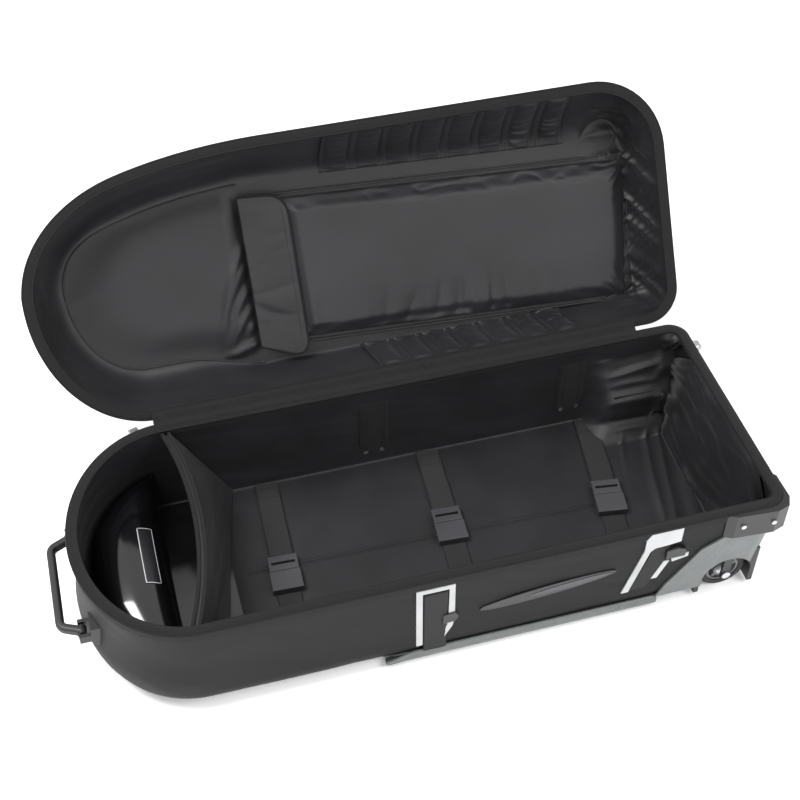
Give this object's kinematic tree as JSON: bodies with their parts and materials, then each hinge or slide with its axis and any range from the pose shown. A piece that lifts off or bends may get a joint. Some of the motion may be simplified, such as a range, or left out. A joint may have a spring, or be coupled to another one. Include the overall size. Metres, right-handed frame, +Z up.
{
  "type": "wheeled ski bag",
  "caption": "Long wheeled snow-sports gear bag, open: padded clamshell with rounded nose, hard sled base, strapped floor, lid with inner pocket and flap.",
  "frame": {"origin": "middle of the base on the floor, on the sole of the middle skid runner", "axes": "+X from the nose to the wheel end along the bag, +Y from the front face to the hinge side, +Z up"},
  "size_m": [1.1038, 0.7209, 0.5433],
  "materials": {
    "shell_fabric": "satin",
    "lining_fabric": "satin",
    "vinyl": "gloss",
    "sled_plastic": "satin",
    "black_plastic": "matte",
    "steel": "satin",
    "silver_trim": "satin",
    "webbing": "matte",
    "badge_rubber": "satin",
    "buckle_plastic": "satin",
    "tyre_rubber": "matte",
    "hub_plastic": "satin",
    "handle_rubber": "satin",
    "zip_metal": "satin"
  },
  "bodies": {
    "tub": {"tub_front_wall": "shell_fabric", "tub_rear_wall": "shell_fabric", "tub_nose_wall": "shell_fabric", "tub_wheel_end_wall": "shell_fabric", "tub_floor_board": "lining_fabric", "tub_rim_band": "webbing", "hinge_tape": "webbing", "divider_wall": "lining_fabric", "nose_bolster": "vinyl", "bolster_nameplate": "silver_trim", "sled_pan": "sled_plastic", "skid_runners": "black_plastic", "sled_side_front": "sled_plastic", "sled_side_rear": "sled_plastic", "corner_guard_front": "black_plastic", "corner_guard_rear": "black_plastic", "wheel_housing_front": "black_plastic", "wheel_housing_rear": "black_plastic", "wheel_axle_front": "steel", "wheel_axle_rear": "steel", "nose_handle_anchors": "black_plastic", "strap_trim_nose": "silver_trim", "strap_webbing_nose": "webbing", "strap_trim_wheel": "silver_trim", "strap_webbing_wheel": "webbing", "front_badge": "badge_rubber", "back_stay_nose": "webbing", "back_stay_wheel": "webbing", "rivets": "steel", "floor_strap_1": "webbing", "floor_strap_2": "webbing", "floor_strap_3": "webbing", "buckle_socket_1": "buckle_plastic", "buckle_socket_2": "buckle_plastic", "buckle_socket_3": "buckle_plastic"},
    "lid": {"lid_panel": "shell_fabric", "lid_front_wall": "shell_fabric", "lid_rear_wall": "shell_fabric", "lid_nose_wall": "shell_fabric", "lid_wheel_end_wall": "shell_fabric", "lid_rim_band": "webbing", "lid_ribs_front": "lining_fabric", "lid_ribs_rear": "lining_fabric", "lid_pocket": "lining_fabric"},
    "pocket_flap": {"pocket_flap": "lining_fabric"},
    "wheel_front": {"wheel_front_tyre": "tyre_rubber", "wheel_front_hub": "hub_plastic", "wheel_front_bearings": "steel"},
    "wheel_rear": {"wheel_rear_tyre": "tyre_rubber", "wheel_rear_hub": "hub_plastic", "wheel_rear_bearings": "steel"},
    "nose_handle": {"nose_handle_grip": "handle_rubber"},
    "zip_slider_nose": {"zip_slider_nose": "zip_metal"},
    "zip_pull_nose": {"zip_pull_nose": "zip_metal"},
    "zip_slider_wheel_end": {"zip_slider_wheel_end": "zip_metal"},
    "zip_pull_wheel_end": {"zip_pull_wheel_end": "zip_metal"},
    "buckle_prong_1": {"buckle_prong_1": "buckle_plastic"},
    "buckle_prong_2": {"buckle_prong_2": "buckle_plastic"},
    "buckle_prong_3": {"buckle_prong_3": "buckle_plastic"}
  },
  "joints": [
    {"name": "lid_hinge", "type": "hinge", "parent": "tub", "child": "lid", "pos_m": [0, 0.2085, 0.19375], "axis": [1, 0, 0], "range_deg": [-58, 122]},
    {"name": "pocket_flap_hinge", "type": "hinge", "parent": "lid", "child": "pocket_flap", "pos_m": [-0.172, 0.37557, 0.30986], "axis": [0, -0.5299, -0.848], "range_deg": [0, 150]},
    {"name": "wheel_front_spin", "type": "hinge", "parent": "tub", "child": "wheel_front", "pos_m": [0.45, -0.181, 0.0385], "axis": [0, 1, 0], "continuous": true},
    {"name": "wheel_rear_spin", "type": "hinge", "parent": "tub", "child": "wheel_rear", "pos_m": [0.45, 0.181, 0.0385], "axis": [0, 1, 0], "continuous": true},
    {"name": "nose_handle_swing", "type": "hinge", "parent": "tub", "child": "nose_handle", "pos_m": [-0.529, 0, 0.1], "axis": [0, 1, 0], "range_deg": [-60, 60]},
    {"name": "zip_slide_nose", "type": "slide", "parent": "tub", "child": "zip_slider_nose", "axis": [-0.9559, -0.2939, 0], "range_m": [0, 0.015]},
    {"name": "zip_pull_nose_swing", "type": "hinge", "parent": "zip_slider_nose", "child": "zip_pull_nose", "pos_m": [-0.40314, 0.20717, 0.1875], "axis": [0.9559, 0.2939, 0], "range_deg": [-10, 90]},
    {"name": "zip_slide_wheel_end", "type": "slide", "parent": "tub", "child": "zip_slider_wheel_end", "axis": [0, -1, 0], "range_m": [0, 0.27]},
    {"name": "zip_pull_wheel_end_swing", "type": "hinge", "parent": "zip_slider_wheel_end", "child": "zip_pull_wheel_end", "pos_m": [0.5357, 0.15, 0.1875], "axis": [0, -1, 0], "range_deg": [-10, 90]},
    {"name": "buckle_release_1", "type": "slide", "parent": "tub", "child": "buckle_prong_1", "axis": [0.0419, 0.9991, 0], "range_m": [0, 0.03]},
    {"name": "buckle_release_2", "type": "slide", "parent": "tub", "child": "buckle_prong_2", "axis": [0.0593, 0.9982, 0], "range_m": [0, 0.03]},
    {"name": "buckle_release_3", "type": "slide", "parent": "tub", "child": "buckle_prong_3", "axis": [0.1392, 0.9903, 0], "range_m": [0, 0.03]}
  ]
}
